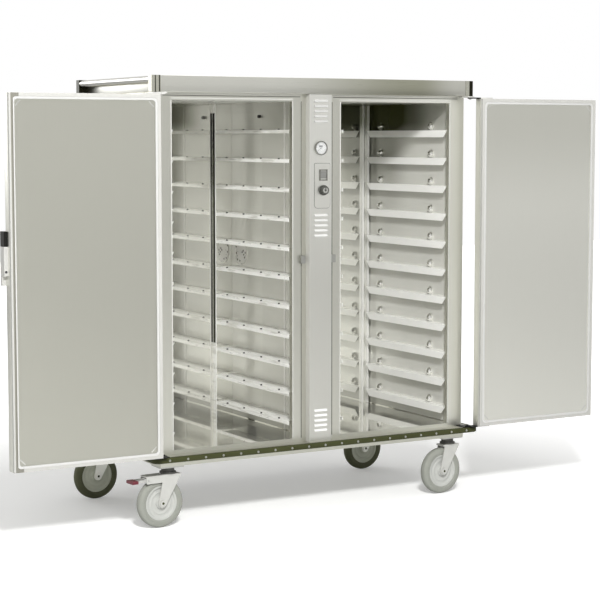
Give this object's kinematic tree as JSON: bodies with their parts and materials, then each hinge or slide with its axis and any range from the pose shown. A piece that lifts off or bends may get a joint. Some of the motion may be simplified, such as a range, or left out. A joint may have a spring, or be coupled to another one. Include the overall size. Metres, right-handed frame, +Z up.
{
  "type": "heated banquet trolley",
  "caption": "Stainless heated banquet trolley with two open hinged doors, tray racks in both compartments, a control column, a bumper and swivel casters.",
  "frame": {"origin": "on the floor, under the middle of the cabinet", "axes": "+Z up, +X to the right seen from the front, front and open doors towards -Y"},
  "size_m": [2.772, 0.8729, 1.788],
  "materials": {
    "brushed_stainless": "fine brushed, satin",
    "bright_stainless": "polished",
    "satin_hardware": "satin",
    "zinc_plate": "zinc plated, satin",
    "black_rubber": "matt",
    "grey_tyre": "matt",
    "light_hub": "satin",
    "red_plastic": "gloss",
    "black_plastic": "satin",
    "grey_gasket": "matt",
    "grey_plastic": "satin",
    "white_dial": "matt",
    "clear_glass": "clear",
    "mineral_wool": "matt",
    "fan_alloy": "satin",
    "heater_steel": "heat tinted"
  },
  "bodies": {
    "cabinet": {"base_pan": "brushed_stainless", "deck_plate": "brushed_stainless", "bumper_strip": "black_rubber", "bumper_rivets": "satin_hardware", "side_panels": "brushed_stainless", "back_panel": "brushed_stainless", "front_frame": "brushed_stainless", "compartment_liners": "bright_stainless", "insulation": "mineral_wool", "roof_cover": "brushed_stainless", "push_bars": "bright_stainless", "push_bar_brackets": "satin_hardware", "hinge_brackets": "satin_hardware", "centre_column": "brushed_stainless", "control_plate": "satin_hardware", "thermometer_bezel": "bright_stainless", "thermometer_dial": "white_dial", "thermometer_glass": "clear_glass", "switch_bezel": "black_plastic", "thermostat_body": "fan_alloy", "duct_panel": "brushed_stainless", "fan_guard": "bright_stainless", "fan_motor": "fan_alloy", "heating_element": "heater_steel", "inner_racks": "bright_stainless", "outer_runners": "bright_stainless", "tray_guides": "bright_stainless", "door_strikers": "satin_hardware", "power_inlet": "black_plastic", "caster_plates": "zinc_plate"},
    "caster_front_left": {"fork_front_left": "zinc_plate"},
    "wheel_front_left": {"tyre_front_left": "grey_tyre", "hub_front_left": "light_hub"},
    "brake_front_pedal": {"brake_pedal_front": "red_plastic"},
    "caster_rear_left": {"fork_rear_left": "zinc_plate"},
    "wheel_rear_left": {"tyre_rear_left": "grey_tyre", "hub_rear_left": "light_hub"},
    "brake_rear_pedal": {"brake_pedal_rear": "red_plastic"},
    "caster_front_right": {"fork_front_right": "zinc_plate"},
    "wheel_front_right": {"tyre_front_right": "grey_tyre", "hub_front_right": "light_hub"},
    "caster_rear_right": {"fork_rear_right": "zinc_plate"},
    "wheel_rear_right": {"tyre_rear_right": "grey_tyre", "hub_rear_right": "light_hub"},
    "rocker": {"switch_rocker": "grey_plastic"},
    "thermostat": {"thermostat_knob": "black_plastic"},
    "needle": {"thermometer_needle": "black_plastic"},
    "fan": {"fan_impeller": "fan_alloy"},
    "door_left": {"door_left_shell": "brushed_stainless", "door_left_inner": "bright_stainless", "door_left_gasket": "grey_gasket", "door_left_arms": "satin_hardware", "latch_left_case": "satin_hardware"},
    "latch_left": {"latch_left_lever": "black_plastic"},
    "door_right": {"door_right_shell": "brushed_stainless", "door_right_inner": "bright_stainless", "door_right_gasket": "grey_gasket", "door_right_arms": "satin_hardware", "latch_right_case": "satin_hardware"},
    "latch_right": {"latch_right_lever": "black_plastic"}
  },
  "joints": [
    {"name": "door_left_hinge", "type": "hinge", "parent": "cabinet", "child": "door_left", "pos_m": [-0.728, -0.398, 1.006], "axis": [0, 0, 1], "range_deg": [-75, 180]},
    {"name": "door_right_hinge", "type": "hinge", "parent": "cabinet", "child": "door_right", "pos_m": [0.728, -0.398, 1.006], "axis": [0, 0, 1], "range_deg": [-180, 75]},
    {"name": "latch_left_lift", "type": "hinge", "parent": "door_left", "child": "latch_left", "pos_m": [-1.363, -0.3915, 1.13742], "axis": [1, 0, 0], "range_deg": [0, 35], "stiffness_Nm_per_rad": 0.6},
    {"name": "latch_right_lift", "type": "hinge", "parent": "door_right", "child": "latch_right", "pos_m": [1.363, -0.3915, 1.13742], "axis": [1, 0, 0], "range_deg": [0, 35], "stiffness_Nm_per_rad": 0.6},
    {"name": "swivel_front_left", "type": "hinge", "parent": "cabinet", "child": "caster_front_left", "pos_m": [-0.676, -0.322, 0.218], "axis": [0, 0, 1], "continuous": true},
    {"name": "roll_front_left", "type": "hinge", "parent": "caster_front_left", "child": "wheel_front_left", "pos_m": [-0.71391, -0.32465, 0.1], "axis": [0.0698, -0.9976, 0], "continuous": true},
    {"name": "brake_front", "type": "hinge", "parent": "caster_front_left", "child": "brake_front_pedal", "pos_m": [-0.77675, -0.32905, 0.197], "axis": [0.0698, -0.9976, 0], "range_deg": [0, 18]},
    {"name": "swivel_rear_left", "type": "hinge", "parent": "cabinet", "child": "caster_rear_left", "pos_m": [-0.676, 0.322, 0.218], "axis": [0, 0, 1], "continuous": true},
    {"name": "roll_rear_left", "type": "hinge", "parent": "caster_rear_left", "child": "wheel_rear_left", "pos_m": [-0.71391, 0.31935, 0.1], "axis": [0.0698, -0.9976, 0], "continuous": true},
    {"name": "brake_rear", "type": "hinge", "parent": "caster_rear_left", "child": "brake_rear_pedal", "pos_m": [-0.77675, 0.31495, 0.197], "axis": [0.0698, -0.9976, 0], "range_deg": [0, 18]},
    {"name": "swivel_front_right", "type": "hinge", "parent": "cabinet", "child": "caster_front_right", "pos_m": [0.676, -0.322, 0.218], "axis": [0, 0, 1], "continuous": true},
    {"name": "roll_front_right", "type": "hinge", "parent": "caster_front_right", "child": "wheel_front_right", "pos_m": [0.63809, -0.32465, 0.1], "axis": [0.0698, -0.9976, 0], "continuous": true},
    {"name": "swivel_rear_right", "type": "hinge", "parent": "cabinet", "child": "caster_rear_right", "pos_m": [0.676, 0.322, 0.218], "axis": [0, 0, 1], "continuous": true},
    {"name": "roll_rear_right", "type": "hinge", "parent": "caster_rear_right", "child": "wheel_rear_right", "pos_m": [0.63809, 0.31935, 0.1], "axis": [0.0698, -0.9976, 0], "continuous": true},
    {"name": "power_switch", "type": "hinge", "parent": "cabinet", "child": "rocker", "pos_m": [0.011, -0.375, 1.394], "axis": [1, 0, 0], "range_deg": [-16, 0]},
    {"name": "thermostat_turn", "type": "hinge", "parent": "cabinet", "child": "thermostat", "pos_m": [0.011, -0.377, 1.332], "axis": [0, 1, 0], "range_deg": [0, 270]},
    {"name": "thermometer_turn", "type": "hinge", "parent": "cabinet", "child": "needle", "pos_m": [0, -0.377, 1.504], "axis": [0, 1, 0], "range_deg": [0, 260]},
    {"name": "fan_spin", "type": "hinge", "parent": "cabinet", "child": "fan", "pos_m": [-0.025, 0.257, 1.04], "axis": [1, 0, 0], "continuous": true}
  ]
}
